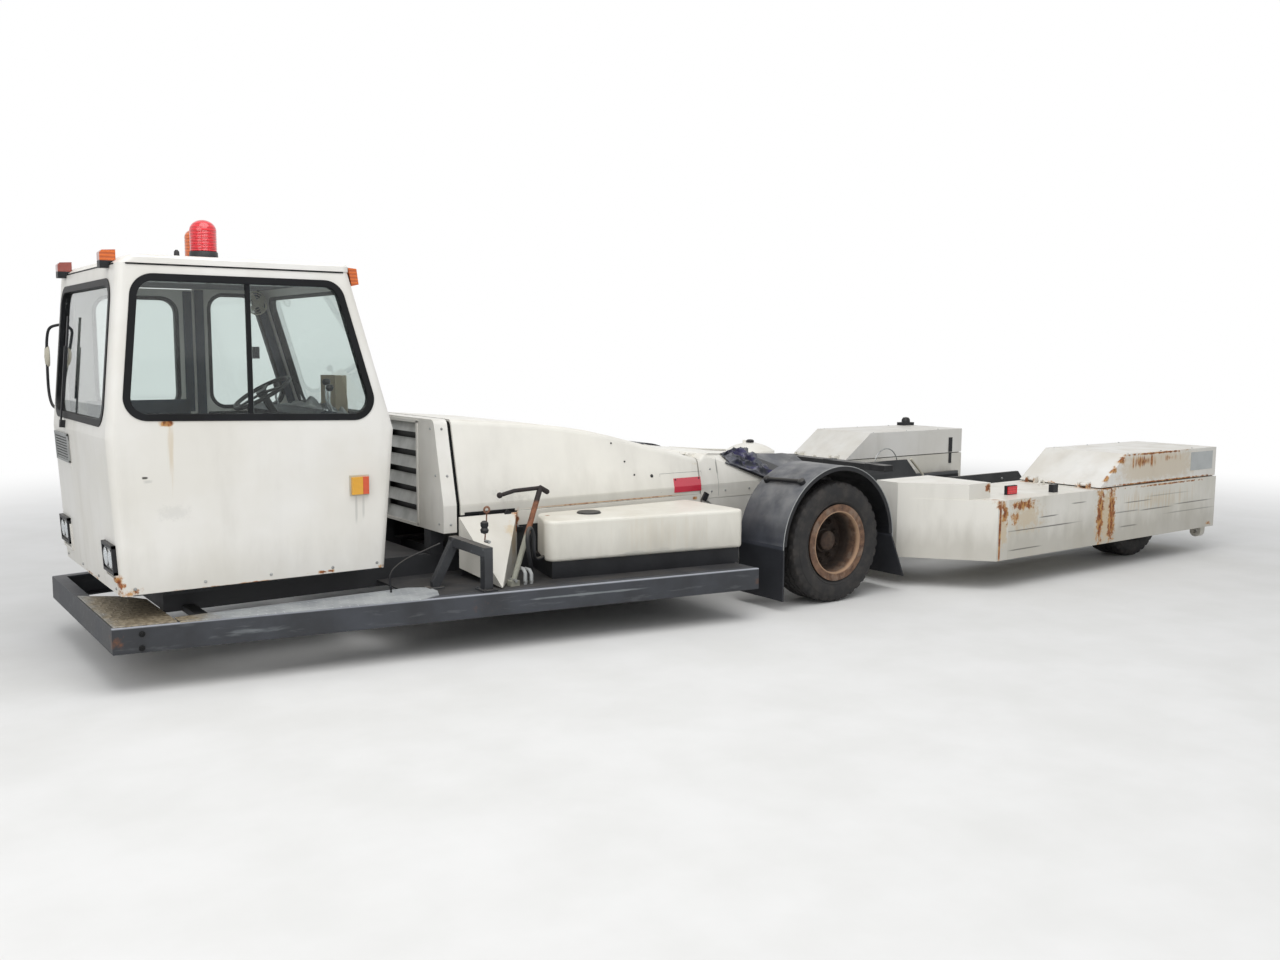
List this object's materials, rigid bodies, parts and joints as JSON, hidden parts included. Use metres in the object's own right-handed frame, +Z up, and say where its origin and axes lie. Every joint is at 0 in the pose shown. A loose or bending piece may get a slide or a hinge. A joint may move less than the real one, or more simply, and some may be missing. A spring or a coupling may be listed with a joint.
{
  "type": "aircraft pushback tractor",
  "caption": "Low aircraft pushback tractor with a glazed cab in front, sloping engine hood, steered mid axle and two rear arms that straddle a nose gear over a tilting cradle.",
  "frame": {"origin": "on the floor, under the middle of the machine's length and width", "axes": "+X forward to the bumper, +Y to the machine's left, +Z up"},
  "size_m": [8.42, 3.34, 2.322],
  "materials": {
    "white_paint": "weathered satin",
    "cab_paint": "weathered satin paint",
    "white_moulding": "satin",
    "black_paint": "worn satin",
    "tread_plate": "dull",
    "glass": "clear",
    "rubber": "matte",
    "seat_vinyl": "matte",
    "black_plastic": "matte",
    "lamp_red": "gloss",
    "lamp_amber": "gloss",
    "louvre_grey": "satin",
    "engine_alloy": "oily",
    "steel": "dull",
    "rusty_steel": "rusty",
    "rusty_rim": "rusty",
    "tyre": "matte"
  },
  "bodies": {
    "chassis": {"chassis_frame": "black_paint", "bumper_beam": "black_paint", "step_plates": "tread_plate", "deck_plates": "black_paint", "cab_shell": "cab_paint", "cab_glass": "glass", "window_seals": "rubber", "cab_floor": "black_paint", "driver_seat": "seat_vinyl", "console": "black_plastic", "steering_wheel": "black_plastic", "roof_beacons": "lamp_red", "lamps": "lamp_amber", "wipers": "black_plastic", "radiator_cowl": "white_paint", "radiator_grille": "louvre_grey", "hood_seal": "rubber", "engine_block": "engine_alloy", "rear_hood": "white_moulding", "side_fairings": "white_moulding", "side_tanks": "white_moulding", "tank_bases": "black_plastic", "mudguards": "black_plastic", "front_axle": "black_paint", "cross_frame": "white_paint", "arm_left": "white_paint", "arm_right": "white_paint", "rear_shafts": "steel", "bracket_stand": "black_paint", "hand_lever": "rusty_steel"},
    "engine_hood": {"engine_hood": "white_moulding"},
    "cab_door": {"cab_door": "cab_paint", "door_glass": "glass"},
    "knuckle_left": {"knuckle_left": "steel"},
    "knuckle_right": {"knuckle_right": "steel"},
    "wheel_front_left": {"tyre_front_left": "tyre", "rim_front_left": "rusty_rim"},
    "wheel_front_right": {"tyre_front_right": "tyre", "rim_front_right": "rusty_rim"},
    "wheel_rear_left": {"tyre_rear_left": "tyre", "rim_rear_left": "rusty_rim"},
    "wheel_rear_right": {"tyre_rear_right": "tyre", "rim_rear_right": "rusty_rim"},
    "cover_left": {"cover_left": "white_paint"},
    "cover_right": {"cover_right": "white_paint"},
    "cradle": {"cradle": "black_paint"},
    "gate_left": {"gate_left": "black_paint"},
    "gate_right": {"gate_right": "black_paint"}
  },
  "joints": [
    {"name": "hood_hinge", "type": "hinge", "parent": "chassis", "child": "engine_hood", "pos_m": [0.46, 0, 0.944], "axis": [0, -1, 0], "range_deg": [0, 50]},
    {"name": "door_hinge", "type": "hinge", "parent": "chassis", "child": "cab_door", "pos_m": [4.039, -0.714, 1.2], "axis": [0, 0, 1], "range_deg": [0, 80]},
    {"name": "steer_left", "type": "hinge", "parent": "chassis", "child": "knuckle_left", "pos_m": [-0.13, 1.0305, 0.4], "axis": [0, 0, 1], "range_deg": [-28, 28]},
    {"name": "steer_right", "type": "hinge", "parent": "chassis", "child": "knuckle_right", "pos_m": [-0.13, -1.0305, 0.4], "axis": [0, 0, 1], "range_deg": [-28, 28]},
    {"name": "wheel_front_left_spin", "type": "hinge", "parent": "knuckle_left", "child": "wheel_front_left", "pos_m": [-0.13, 1.1495, 0.4], "axis": [0, 1, 0], "continuous": true},
    {"name": "wheel_front_right_spin", "type": "hinge", "parent": "knuckle_right", "child": "wheel_front_right", "pos_m": [-0.13, -1.1495, 0.4], "axis": [0, 1, 0], "continuous": true},
    {"name": "wheel_rear_left_spin", "type": "hinge", "parent": "chassis", "child": "wheel_rear_left", "pos_m": [-3.41, 1.31, 0.4], "axis": [0, 1, 0], "continuous": true},
    {"name": "wheel_rear_right_spin", "type": "hinge", "parent": "chassis", "child": "wheel_rear_right", "pos_m": [-3.41, -1.31, 0.4], "axis": [0, 1, 0], "continuous": true},
    {"name": "cover_left_hinge", "type": "hinge", "parent": "chassis", "child": "cover_left", "pos_m": [-2.503, 1.31, 0.656], "axis": [0, 1, 0], "range_deg": [0, 60]},
    {"name": "cover_right_hinge", "type": "hinge", "parent": "chassis", "child": "cover_right", "pos_m": [-2.503, -1.31, 0.656], "axis": [0, 1, 0], "range_deg": [0, 60]},
    {"name": "cradle_tilt", "type": "hinge", "parent": "chassis", "child": "cradle", "pos_m": [-1.55, 0, 0.42], "axis": [0, 1, 0], "range_deg": [-4, 6]},
    {"name": "gate_left_hinge", "type": "hinge", "parent": "chassis", "child": "gate_left", "pos_m": [-3.39, 0.898, 0.37], "axis": [0, 0, 1], "range_deg": [0, 90]},
    {"name": "gate_right_hinge", "type": "hinge", "parent": "chassis", "child": "gate_right", "pos_m": [-3.39, -0.898, 0.37], "axis": [0, 0, -1], "range_deg": [0, 90]}
  ],
  "couplings": [
    {"joint": "steer_right", "follows": "steer_left", "ratio": 1}
  ]
}
